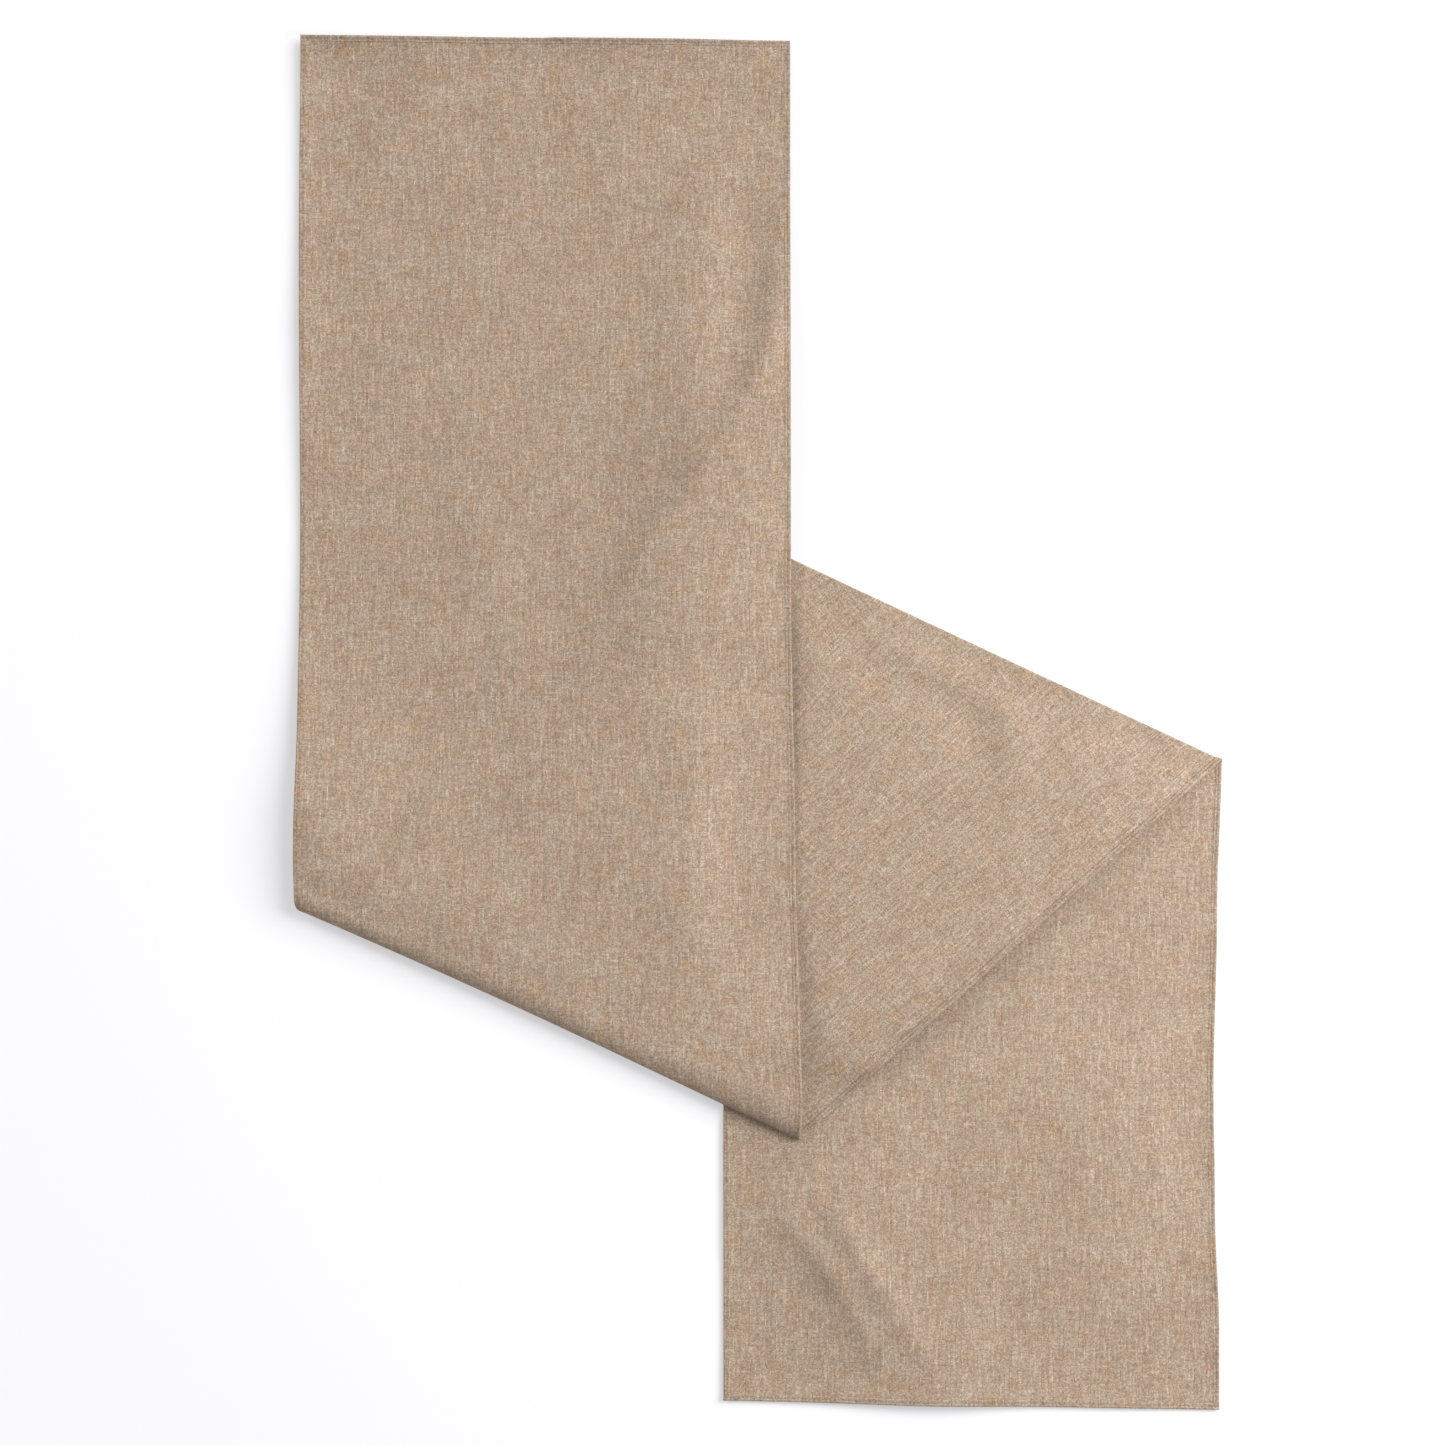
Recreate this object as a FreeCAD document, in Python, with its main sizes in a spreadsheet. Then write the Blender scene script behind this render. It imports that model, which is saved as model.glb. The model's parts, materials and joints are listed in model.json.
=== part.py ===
import FreeCAD, Part
import math
import os

import Sketcher

# A table runner: one long strip of woven cloth with a narrow turned hem all round, lying
# folded in three.  The strip runs down its top panel, turns under at the first fold, runs
# back up to the right as the middle panel, turns under at the second fold and ends as the
# bottom panel.  Both folds lie aslant, so the middle panel shows between the other two.
# Units are millimetres and degrees.  +Y runs along the top and bottom panels, +Z is up,
# and the origin is on the table, at the middle of the runner's footprint.

DRIVING_SIZES = [
    ("runner_width", 381.0),
    ("top_length", 765.0),
    ("middle_length", 443.0),
    ("bottom_length", 588.0),
    ("fold_angle", 24.4),
    ("cloth_thickness", 0.6),
    ("hem_width", 5.0),
    ("hem_thickness", 1.8),
    ("stitch_inset", 2.6),
    ("thread_width", 0.4),
    ("thread_depth", 0.3),
    ("first_fold_radius", 8.0),
    ("second_fold_radius", 1.8),
    ("layer_clearance", 0.3),
    ("shoulder_run", 92.0),
    ("ramp_margin", 15.0),
    ("ramp_run", 100.0),
]

doc = FreeCAD.newDocument("TableRunner")
sizes = doc.addObject("Spreadsheet::Sheet", "Sizes")
for row, (alias, value) in enumerate(DRIVING_SIZES, start=1):
    sizes.set(f"A{row}", alias)
    sizes.set(f"B{row}", str(value))
    sizes.setAlias(f"B{row}", alias)
doc.recompute()


def size(alias):
    return float(sizes.get(alias))


# %% Where the creases and panels lie, all worked out from the sheet

SINE = math.sin(math.radians(size("fold_angle")))
COSINE = math.cos(math.radians(size("fold_angle")))
SLANT = SINE / COSINE
UP = FreeCAD.Vector(0, 0, 1)
ALONG_CREASE = FreeCAD.Vector(COSINE, -SINE, 0)
ACROSS_CREASE = FreeCAD.Vector(SINE, COSINE, 0)
ALONG_TOP = FreeCAD.Vector(0, 1, 0)
ALONG_MIDDLE = FreeCAD.Vector(2 * SINE * COSINE, COSINE**2 - SINE**2, 0)

# Each crease is a hinge line along the outermost edge of its roll, at half the roll's height.
# Cloth uses more length going round a roll than the roll takes up, and on a slanted fold that
# shifts the two panels apart along the crease, by this share of the roll's radius each.
CREASE_SHIFT = (math.pi / 2 - 1) * SLANT
first_shift = CREASE_SHIFT * size("first_fold_radius")
second_shift = CREASE_SHIFT * size("second_fold_radius")

bottom_height = size("hem_thickness") / 2
second_crease_height = bottom_height + size("second_fold_radius")
middle_height = bottom_height + 2 * size("second_fold_radius")
first_crease_height = middle_height + size("first_fold_radius")

first_crease = UP * first_crease_height
top_start = ALONG_CREASE * -first_shift
middle_start = ALONG_CREASE * first_shift
middle_end = middle_start + ALONG_MIDDLE * size("middle_length")
second_crease = middle_end + ALONG_CREASE * second_shift + UP * second_crease_height
bottom_start = middle_end + ALONG_CREASE * 2 * second_shift
crease_gap = size("middle_length") * COSINE

# How far past the second crease the top panel lies over the middle panel's own line:
# it stays at the stack's height that far, so that the bottom panel can open under it.
overhang = max(0.0, size("runner_width") - size("middle_length") * 2 * SINE * COSINE)
overhang_reach = overhang * (SINE + COSINE * ALONG_MIDDLE.y / ALONG_MIDDLE.x)

# Tools are cut well past the runner, so that only the faces meant to shape a piece touch it.
BEYOND = size("runner_width") + size("top_length") + size("bottom_length")


# %% Building blocks


def turned(degrees):
    return FreeCAD.Rotation(UP, degrees)


def bound_box(name, length, width, height, corner, rotation):
    """A box whose three sizes are expressions on the sheet."""
    block = doc.addObject("Part::Box", name)
    block.setExpression("Length", length)
    block.setExpression("Width", width)
    block.setExpression("Height", height)
    block.Placement = FreeCAD.Placement(corner, rotation)
    return block


def common(name, first, second):
    both = doc.addObject("Part::Common", name)
    both.Base = first
    both.Tool = second
    return both


def cut(name, base, tool):
    left = doc.addObject("Part::Cut", name)
    left.Base = base
    left.Tool = tool
    return left


# Bands lie across the strip, from its left edge: where each starts and how wide it is.
HALF_THREAD = "Sizes.thread_width / 2"
BANDS = {
    "cloth": ("Sizes.hem_width", "(Sizes.runner_width - 2 * Sizes.hem_width)"),
    "left_hem": ("0", "Sizes.hem_width"),
    "right_hem": ("(Sizes.runner_width - Sizes.hem_width)", "Sizes.hem_width"),
    "left_thread": (f"(Sizes.stitch_inset - {HALF_THREAD})", "Sizes.thread_width"),
    "right_thread": (
        f"(Sizes.runner_width - Sizes.stitch_inset - {HALF_THREAD})",
        "Sizes.thread_width",
    ),
}
# Layers lie through the cloth, measured up from the middle of the hem's thickness.
HALF_HEM = "Sizes.hem_thickness / 2"
LAYERS = {
    "hem": (f"-{HALF_HEM}", "Sizes.hem_thickness"),
    "low_cloth": (f"-{HALF_HEM}", "Sizes.cloth_thickness"),
    "high_cloth": (f"({HALF_HEM} - Sizes.cloth_thickness)", "Sizes.cloth_thickness"),
    "upper_thread": (f"({HALF_HEM} - Sizes.thread_depth)", "Sizes.thread_depth"),
    "lower_thread": (f"-{HALF_HEM}", "Sizes.thread_depth"),
}


def worked_out(expression):
    """The value of an expression on the sheet, for the places that code works out."""
    return float(sizes.evalExpression(expression))


subparts = []


def finish_piece(piece, label):
    piece.Label = label
    subparts.append(piece)
    return piece


def hem_with_threads(label, block, needle, bobbin):
    """A hem is grooved on both faces where its two threads lie pulled into the cloth."""
    grooved = cut(f"{label}_needle_groove", block, needle)
    return finish_piece(cut(f"{label}_piece", grooved, bobbin), label)


# %% A panel: cloth, two side hems and their threads, and an end hem where the strip ends


def panel(name, start, rotation, forward, reach, layers, flat_height=None, end_at=None):
    """reach gives, for each layer, the solid that the panel's bands are cut from.

    forward is True where the panel runs the way of its own +Y.  flat_height is set on a panel
    that lies level, whose bands hold their own layer's height and thickness.
    """
    half_width = size("runner_width") / 2
    x_way = rotation.multVec(FreeCAD.Vector(1, 0, 0))
    y_way = rotation.multVec(FreeCAD.Vector(0, 1, 0))

    def strip(part_name, band, layer, length_from, length):
        """One band of one layer.  length_from is a distance along the panel's own +Y."""
        band_from, band_width = band
        layer_from, layer_depth = LAYERS[layer]
        corner = start + x_way * (worked_out(band_from) - half_width) + y_way * length_from
        if flat_height is None:
            height = str(BEYOND)
            corner = corner - UP * BEYOND / 2
        else:
            height = layer_depth
            corner = corner + UP * (flat_height + worked_out(layer_from))
        box = bound_box(f"{part_name}_band", band_width, length, height, corner, rotation)
        return common(f"{part_name}_piece", reach(part_name, layer), box)

    hem = size("hem_width")
    side_length = str(BEYOND)
    side_from = -BEYOND / 2
    if end_at is not None:
        side_from = end_at - hem - BEYOND if forward else end_at + hem

    label = f"{name}_cloth"
    finish_piece(strip(label, BANDS["cloth"], layers["cloth"], side_from, side_length), label)
    for side in ("left", "right"):
        label = f"{name}_{side}_hem"
        threads = []
        for thread in ("needle", "bobbin"):
            thread_label = f"{label}_{thread}_thread"
            band = BANDS[f"{side}_thread"]
            piece = strip(thread_label, band, layers[thread], side_from, side_length)
            threads.append(finish_piece(piece, thread_label))
        block = strip(f"{label}_block", BANDS[f"{side}_hem"], "hem", side_from, side_length)
        hem_with_threads(label, block, *threads)
    if end_at is None:
        return

    label = f"{name}_end_hem"
    whole_width = ("0", "Sizes.runner_width")
    thread_inset = size("stitch_inset") + size("thread_width") / 2
    thread_from = end_at - thread_inset if forward else end_at + thread_inset
    if not forward:
        thread_from = thread_from - size("thread_width")
    threads = []
    for thread in ("needle", "bobbin"):
        thread_label = f"{label}_{thread}_thread"
        piece = strip(thread_label, whole_width, layers[thread], thread_from, "Sizes.thread_width")
        threads.append(finish_piece(piece, thread_label))
    hem_from = end_at - hem if forward else end_at
    block = strip(f"{label}_block", whole_width, "hem", hem_from, "Sizes.hem_width")
    hem_with_threads(label, block, *threads)


# %% Bottom panel: level on the table, from the second fold to its own end

FACE_UP = {"cloth": "low_cloth", "needle": "upper_thread", "bobbin": "lower_thread"}
REVERSE_UP = {"cloth": "high_cloth", "needle": "lower_thread", "bobbin": "upper_thread"}


def bottom_reach(part_name, layer):
    """Everything on the bottom panel's side of the second roll."""
    far_corner = second_crease - ALONG_CREASE * BEYOND - UP * BEYOND
    corner = far_corner - ACROSS_CREASE * (BEYOND + size("second_fold_radius"))
    sides = (str(2 * BEYOND), str(BEYOND), str(2 * BEYOND))
    return bound_box(f"{part_name}_reach", *sides, corner, turned(-size("fold_angle")))


panel(
    "bottom_panel",
    bottom_start,
    turned(0),
    False,
    bottom_reach,
    FACE_UP,
    flat_height=bottom_height,
    end_at=-size("bottom_length"),
)


# %% Middle panel: level on the bottom panel, between the two rolls


def middle_reach(part_name, layer):
    corner = ACROSS_CREASE * size("first_fold_radius") - ALONG_CREASE * BEYOND - UP * BEYOND
    between = (
        "(Sizes.middle_length * cos(Sizes.fold_angle)"
        " - Sizes.first_fold_radius - Sizes.second_fold_radius)"
    )
    sides = (str(2 * BEYOND), between, str(2 * BEYOND))
    return bound_box(f"{part_name}_reach", *sides, corner, turned(-size("fold_angle")))


panel(
    "middle_panel",
    middle_start,
    turned(-2 * size("fold_angle")),
    True,
    middle_reach,
    REVERSE_UP,
    flat_height=middle_height,
)


# %% Top panel: down off the first roll, level over the stack, then down to the table


def drape_line():
    """The top panel's course as (distance from the first crease, height) expressions."""
    roll = "Sizes.first_fold_radius"
    stack = "(Sizes.hem_thickness / 2 + 2 * Sizes.second_fold_radius)"
    on_stack = f"({stack} + Sizes.hem_thickness + Sizes.layer_clearance)"
    over_fold = (
        f"(Sizes.middle_length * cos(Sizes.fold_angle) + {overhang_reach} + Sizes.ramp_margin)"
    )
    on_table = "(Sizes.hem_thickness / 2)"
    return [
        (roll, f"({stack} + 2 * {roll})"),
        (f"({roll} + Sizes.shoulder_run)", on_stack),
        (over_fold, on_stack),
        (f"({over_fold} + Sizes.ramp_run)", on_table),
        (str(BEYOND), on_table),
    ]


def drape_sketch(name, layer):
    """The drape line, thickened to one layer: an outline with every corner bound."""
    low, depth = LAYERS[layer]
    under = [(x, f"({y} + {low})") for x, y in drape_line()]
    over = [(x, f"({y} + {low} + {depth})") for x, y in reversed(drape_line())]
    corners = under + over
    places = [FreeCAD.Vector(worked_out(x), worked_out(y), 0) for x, y in corners]
    sketch = doc.addObject("Sketcher::SketchObject", name)
    sketch.Placement = FreeCAD.Placement(
        FreeCAD.Vector(0, 0, 0), FreeCAD.Rotation(ACROSS_CREASE, UP, ALONG_CREASE, "XYZ")
    )
    for k, place in enumerate(places):
        sketch.addGeometry(Part.LineSegment(place, places[(k + 1) % len(places)]))
    for k in range(len(places)):
        sketch.addConstraint(Sketcher.Constraint("Coincident", k, 2, (k + 1) % len(places), 1))
    for k, (x, y) in enumerate(corners):
        for kind, value, where in (("DistanceX", x, places[k].x), ("DistanceY", y, places[k].y)):
            bound = sketch.addConstraint(Sketcher.Constraint(kind, -1, 1, k, 1, where))
            sketch.setExpression(f"Constraints[{bound}]", value)
    return sketch


drape_slabs = {}


def top_reach(part_name, layer):
    """One slab for each layer, drawn across the crease and extruded along it."""
    if layer not in drape_slabs:
        slab = doc.addObject("Part::Extrusion", f"drape_{layer}")
        slab.Base = drape_sketch(f"drape_{layer}_outline", layer)
        slab.DirMode = "Normal"
        slab.LengthFwd = 2 * BEYOND
        slab.Symmetric = True
        slab.Solid = True
        drape_slabs[layer] = slab
    return drape_slabs[layer]


panel(
    "top_panel",
    top_start,
    turned(0),
    True,
    top_reach,
    FACE_UP,
    end_at=size("top_length"),
)


# %% Fold rolls: half pipes along each crease, with the hems and threads running round them


def half_pipe(name, radius, low, depth, centre, spin):
    """One layer bent round a roll, from the panel under it to the panel over it."""
    pipes = []
    for side, reach in (("inner", low), ("outer", f"{low} + {depth}")):
        pipe = doc.addObject("Part::Cylinder", f"{name}_{side}")
        pipe.setExpression("Radius", f"{radius} + {reach}")
        pipe.Height = 2 * BEYOND
        pipe.Angle = 180
        pipe.Placement = FreeCAD.Placement(centre - ALONG_CREASE * BEYOND, spin)
        pipes.append(pipe)
    return cut(f"{name}_pipe", pipes[1], pipes[0])


def slanted_band(name, radius, band, outward, centre):
    """A leaning block that cuts one band out of a roll, as the strip's edge winds round it."""
    across = "cos(Sizes.fold_angle)"
    tall = f"({radius} + Sizes.hem_thickness)"
    lean = f"{math.pi / 2} * tan(Sizes.fold_angle) * {tall}"
    left = f"({band[0]} - Sizes.runner_width / 2) / {across}"
    right = f"({band[0]} + {band[1]} - Sizes.runner_width / 2) / {across}"
    block = doc.addObject("Part::Wedge", name)
    block.setExpression("Ymin", f"-{tall}")
    block.setExpression("Ymax", tall)
    block.setExpression("Xmin", f"{left} + {lean}")
    block.setExpression("Xmax", f"{right} + {lean}")
    block.setExpression("X2min", f"{left} - {lean}")
    block.setExpression("X2max", f"{right} - {lean}")
    for near in ("Zmin", "Z2min"):
        block.setExpression(near, "0" if outward < 0 else f"-{tall}")
    for far in ("Zmax", "Z2max"):
        block.setExpression(far, tall if outward < 0 else "0")
    spin = FreeCAD.Rotation(ALONG_CREASE, UP, ACROSS_CREASE * -1, "XYZ")
    block.Placement = FreeCAD.Placement(centre, spin)
    return block


def fold_roll(name, alias, crease, outward, layers):
    """outward is -1 where the roll bulges away from +Y, and 1 where it bulges towards it."""
    radius = f"Sizes.{alias}"
    centre = crease - ACROSS_CREASE * outward * size(alias)
    across = UP if outward < 0 else UP * -1
    spin = FreeCAD.Rotation(across, ACROSS_CREASE * outward, ALONG_CREASE, "XYZ")

    def ring(part_name, band, layer):
        low, depth = LAYERS[layer]
        pipe = half_pipe(part_name, radius, low, depth, centre, spin)
        block = slanted_band(f"{part_name}_band", radius, band, outward, centre)
        return common(f"{part_name}_piece", pipe, block)

    label = f"{name}_cloth"
    finish_piece(ring(label, BANDS["cloth"], layers["cloth"]), label)
    for side in ("left", "right"):
        label = f"{name}_{side}_hem"
        threads = []
        for thread in ("needle", "bobbin"):
            thread_label = f"{label}_{thread}_thread"
            piece = ring(thread_label, BANDS[f"{side}_thread"], layers[thread])
            threads.append(finish_piece(piece, thread_label))
        block = ring(f"{label}_block", BANDS[f"{side}_hem"], "hem")
        hem_with_threads(label, block, *threads)


# In a roll the layers count outwards, so the low side is the inner one.
CLOTH_INSIDE = {"cloth": "low_cloth", "needle": "upper_thread", "bobbin": "lower_thread"}
CLOTH_OUTSIDE = {"cloth": "high_cloth", "needle": "lower_thread", "bobbin": "upper_thread"}

fold_roll("first_fold", "first_fold_radius", first_crease, -1, CLOTH_INSIDE)
fold_roll("second_fold", "second_fold_radius", second_crease, 1, CLOTH_OUTSIDE)

doc.recompute()

# %% Put the origin under the middle of the footprint, check every piece and write them

box = FreeCAD.BoundBox()
for piece in subparts:
    box.add(piece.Shape.BoundBox)
to_origin = FreeCAD.Vector(-box.Center.x, -box.Center.y, 0)
DRAWN = ("Part::Box", "Part::Wedge", "Part::Cylinder", "Sketcher::SketchObject")
for drawn in doc.Objects:
    if drawn.TypeId in DRAWN:
        place = drawn.Placement
        drawn.Placement = FreeCAD.Placement(place.Base + to_origin, place.Rotation)
doc.recompute()

failed = [o.Name for o in doc.Objects if "Invalid" in o.State or "Error" in o.State]
if failed:
    raise RuntimeError(f"failed to recompute: {failed}")
for piece in subparts:
    if piece.Shape.isNull() or not piece.Shape.isValid() or len(piece.Shape.Solids) != 1:
        raise RuntimeError(f"not one valid solid: {piece.Label}")

os.makedirs("parts", exist_ok=True)
for piece in subparts:
    piece.Shape.exportStep(f"parts/{piece.Label}.step")

print("pieces", len(subparts))
print("footprint", round(box.XLength, 2), round(box.YLength, 2), "height", round(box.ZMax, 2))
for title, crease in (("first crease", first_crease), ("second crease", second_crease)):
    print(title, [round(v, 3) for v in (crease + to_origin)])
print("crease direction", [round(v, 6) for v in ALONG_CREASE])
roll_radii = size("first_fold_radius") + size("second_fold_radius")
laid = size("top_length") + size("middle_length") + size("bottom_length")
print("length of cloth as laid", round(laid + (math.pi - 2) * roll_radii / COSINE, 1))
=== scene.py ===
# %% [markdown]
# # A folded table runner
# A table runner is one long strip of woven cloth, hemmed all round. This one lies folded in
# three: the top panel runs down and turns under at a soft roll, the middle panel comes back
# with its reverse side up and turns under at a crisp fold, and the bottom panel runs on down.
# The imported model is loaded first. It holds the panels' sizes and the two crease lines, and
# everything here is worked out from it.

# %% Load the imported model
import json
import math
from functools import partial

import bpy
import numpy as np
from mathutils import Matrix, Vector


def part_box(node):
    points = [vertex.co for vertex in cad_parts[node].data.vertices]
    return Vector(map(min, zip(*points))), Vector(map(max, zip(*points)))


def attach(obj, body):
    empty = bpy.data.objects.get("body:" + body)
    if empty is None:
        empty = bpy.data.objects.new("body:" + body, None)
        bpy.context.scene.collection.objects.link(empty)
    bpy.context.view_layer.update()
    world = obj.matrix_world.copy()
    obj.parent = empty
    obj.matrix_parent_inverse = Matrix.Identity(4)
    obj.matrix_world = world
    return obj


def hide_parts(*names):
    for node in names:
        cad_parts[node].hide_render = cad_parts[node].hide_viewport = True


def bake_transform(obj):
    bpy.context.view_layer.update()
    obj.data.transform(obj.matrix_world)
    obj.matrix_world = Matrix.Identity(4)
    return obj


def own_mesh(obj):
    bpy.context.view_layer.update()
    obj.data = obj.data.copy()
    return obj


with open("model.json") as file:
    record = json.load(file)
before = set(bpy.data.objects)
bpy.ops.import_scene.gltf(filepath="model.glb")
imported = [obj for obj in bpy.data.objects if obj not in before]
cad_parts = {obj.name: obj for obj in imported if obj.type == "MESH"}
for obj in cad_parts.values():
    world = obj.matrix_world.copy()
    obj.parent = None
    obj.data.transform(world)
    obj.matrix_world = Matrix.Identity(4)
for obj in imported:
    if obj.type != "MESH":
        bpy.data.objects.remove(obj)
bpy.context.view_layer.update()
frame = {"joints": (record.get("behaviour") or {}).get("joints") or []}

# %% [markdown]
# Lengths below are in millimetres, because a hem, a stitch and a yarn are sized in them. A
# point becomes metres only when it goes into a mesh. The creases are the joints' axes, and the
# widths and lengths are read from the plain solids that the pieces made here stand for.

# %% Sizes read from the model
MM = 0.001
joints = {joint["name"]: joint for joint in frame["joints"]}


def solid_box(name):
    """A plain solid's lowest and highest corners, in millimetres."""
    return np.array([list(corner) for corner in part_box(name)]) / MM


first_crease = np.array(joints["first_fold"]["pos_m"]) / MM
second_crease = np.array(joints["second_fold"]["pos_m"]) / MM
along = np.array(joints["first_fold"]["axis"][:2])  # the way both creases run
across = np.array([-along[1], along[0]])  # and the way square to them, from first to second
COSINE, SINE = along[0], -along[1]

top_end = solid_box("top_panel_end_hem")
bottom_end = solid_box("bottom_panel_end_hem")
WIDTH = np.ptp(top_end[:, 0])
HEM = np.ptp(top_end[:, 1])
second_radius = second_crease[2] - np.ptp(bottom_end[:, 2]) / 2
UNDER_LEVEL = second_crease[2] + second_radius
first_radius = first_crease[2] - UNDER_LEVEL
CROWN = first_crease[2] + first_radius

# Round a roll the cloth uses more length than the roll takes up, and on a slanted fold that
# moves the panels apart along the crease.
drift = (math.pi / 2 - 1) * SINE / COSINE * first_radius
GAP = (second_crease[:2] - first_crease[:2]) @ across
top_start = first_crease[:2] - along * drift
TOP_LENGTH = top_end[1, 1] - top_start[1]
bottom_start = second_crease[1] - SINE * drift * second_radius / first_radius
CLOTH_LENGTH = TOP_LENGTH + bottom_start - bottom_end[0, 1]
CLOTH_LENGTH += (GAP + (math.pi - 2) * (first_radius + second_radius)) / COSINE
print("cloth", round(WIDTH, 1), "by", round(CLOTH_LENGTH, 1), "as laid, hem", round(HEM, 1))

# %% [markdown]
# ## How the strip folds
# Both creases run the same way, so the folded strip has one outline when it is seen along
# them. A point of the cloth is named by how far it is along the strip from the top panel's
# end (`run`), and how far from the middle (`side`, left is negative). Turning those two by
# the fold's angle gives a distance towards the crease, which the rolls bend, and a distance
# along it, which they leave alone. So the cloth only bends, and its weave is never stretched.

# %% From a place on the cloth to distances from the first crease
ROLL_SEAM, CRISP_SEAM = 40.0, 12.0  # how far each roll's piece reaches from its crease
roll_path = 2 * (ROLL_SEAM - first_radius) + math.pi * first_radius
crisp_path = 2 * (CRISP_SEAM - second_radius) + math.pi * second_radius
ROLL_FROM, ROLL_TO = ROLL_SEAM, ROLL_SEAM - roll_path
CRISP_FROM = ROLL_TO - (GAP - ROLL_SEAM - CRISP_SEAM)
CRISP_TO = CRISP_FROM - crisp_path


def unfolded(run, side):
    """Distances square to the first crease and along it, as if the cloth weren't folded."""
    back = TOP_LENGTH - run
    return back * COSINE + side * SINE, side * COSINE - back * SINE - drift


def run_at(distance, side):
    """The run at which a line across the cloth is this far from the crease, unfolded."""
    return TOP_LENGTH - (distance - side * SINE) / COSINE


def ease(low, high, value):
    """0 at low and 1 at high, with a smooth start and end. low may be the larger of the two."""
    share = np.clip((value - low) / (high - low), 0, 1)
    return share * share * (3 - 2 * share)


print("cloth in the rolls", round(roll_path / COSINE, 1), "and", round(crisp_path / COSINE, 1), "mm")

# %% [markdown]
# A roll is drawn as level cloth, a quarter ellipse down to the crease, another quarter
# ellipse back under it, and level cloth again. The first roll is plump and sags a little, so
# its upper quarter is much the larger. It starts to turn 13 mm from the crease at the left
# edge, and 26 mm from it at the right edge, where it also stands 2 mm higher.

# %% The outline of a roll
def quarter_length(reach, rise):
    """Ramanujan's length of a quarter of an ellipse."""
    return math.pi / 4 * (3 * (reach + rise) - np.sqrt((3 * reach + rise) * (reach + 3 * rise)))


def roll_outline(share, seam, over, under):
    """over and under are each quarter's (reach, rise). Gives distance from the crease, height."""
    level_over, level_under = seam - over[0], seam - under[0]
    turn_over, turn_under = quarter_length(*over), quarter_length(*under)
    path = share * (level_over + turn_over + turn_under + level_under)
    down = np.clip((path - level_over) / turn_over, 0, 1) * math.pi / 2
    back = np.clip((path - level_over - turn_over) / turn_under, 0, 1) * math.pi / 2
    above = path <= level_over + turn_over
    before = np.clip(level_over - path, 0, None)
    beyond = np.clip(path - level_over - turn_over - turn_under, 0, None)
    out = np.where(above, over[0] * (1 - np.sin(down)) + before, under[0] * (1 - np.cos(back)) + beyond)
    high = np.where(above, over[1] * np.cos(down), -under[1] * np.sin(back))
    return out, high


# %% [markdown]
# ## How the panels lie
# Each panel's height is worked out on a plan grid. A hanging sheet is smoothed and lowered a
# little at each step, and is held up by what it lies on and by its folds. After enough steps it
# has the shape of cloth that bends but doesn't stretch much: slack over a hollow, and a long
# slope where it comes down to the table. Then the few soft creases the cloth kept are added.

# %% The first roll's size, which grows from left to right
SEAM_LEVEL = CROWN - 1.2  # where the top panel's cloth meets the roll's, the same all along


def across_cloth(at_left, at_right, side):
    """A size that changes smoothly from the strip's left edge to its right edge."""
    return at_left + (at_right - at_left) * ease(-WIDTH / 2, WIDTH / 2, side)


def nose_level(side):
    """The height of the crease, where the roll reaches furthest out."""
    return across_cloth(6.8, 7.3, side)


def crown_level(side):
    """The height of the roll's top."""
    return across_cloth(SEAM_LEVEL - 2.2, SEAM_LEVEL, side)


def roll_reach(side):
    """How far from the crease the roll starts to turn down."""
    return across_cloth(13.0, 26.0, side)


for edge_name, side in (("left", -WIDTH / 2), ("right", WIDTH / 2)):
    print("first roll,", edge_name, "edge: reach", roll_reach(side), "top", round(crown_level(side), 1))

# %% Draping on a grid
STEP = 4.0
plan_x, plan_y = np.meshgrid(np.arange(-400, 401, STEP), np.arange(-572, 573, STEP))
BINOMIAL = (1 / 16, 4 / 16, 6 / 16, 4 / 16, 1 / 16)
seeded = np.random.default_rng(7)


def spread(values, axis):
    """Binomial smoothing along one axis of the grid."""
    padded = np.pad(values, [(2, 2) if a == axis else (0, 0) for a in (0, 1)], mode="edge")
    size = values.shape[axis]
    return sum(w * np.take(padded, range(k, k + size), axis) for k, w in enumerate(BINOMIAL))


def smoothed(values, inside, times=1):
    """Each time, a cell takes the mean of the cells within 8 mm that are on the panel."""
    weight = np.maximum(spread(spread(inside * 1.0, 0), 1), 1e-9)
    for _ in range(times):
        mean = spread(spread(values * inside, 0), 1) / weight
        values = np.where(weight > 1e-6, mean, values)
    return values


def draped(rests_on, held, held_at, inside, steps=700, sag=0.03):
    """The sheet's heights after it has been smoothed and lowered by sag at each step."""
    height = np.where(held, held_at, rests_on)
    for _ in range(steps):
        height = np.maximum(smoothed(height, inside) - sag, rests_on)
        height = np.where(held, held_at, height)
    return height


def ridge(points, wide, high):
    """A soft crease along a line of points: a rounded rise that dies out at both ends."""
    nearest, where = np.full(plan_x.shape, 1e9), np.zeros(plan_x.shape)
    for number, ((ax, ay), (bx, by)) in enumerate(zip(points[:-1], points[1:])):
        length = (bx - ax) ** 2 + (by - ay) ** 2
        share = np.clip(((plan_x - ax) * (bx - ax) + (plan_y - ay) * (by - ay)) / length, 0, 1)
        gap = (plan_x - ax - share * (bx - ax)) ** 2 + (plan_y - ay - share * (by - ay)) ** 2
        where = np.where(gap < nearest, (number + share) / (len(points) - 1), where)
        nearest = np.minimum(nearest, gap)
    return high * (1 - 0.75 * (2 * where - 1) ** 4) * np.exp(-nearest / wide ** 2)


def creased(heights, creases):
    """Adds soft creases, each a line of points, how wide it is, and how high (or how deep)."""
    for points, wide, high in creases:
        heights = heights + ridge(points, wide, high)
    return heights


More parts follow.
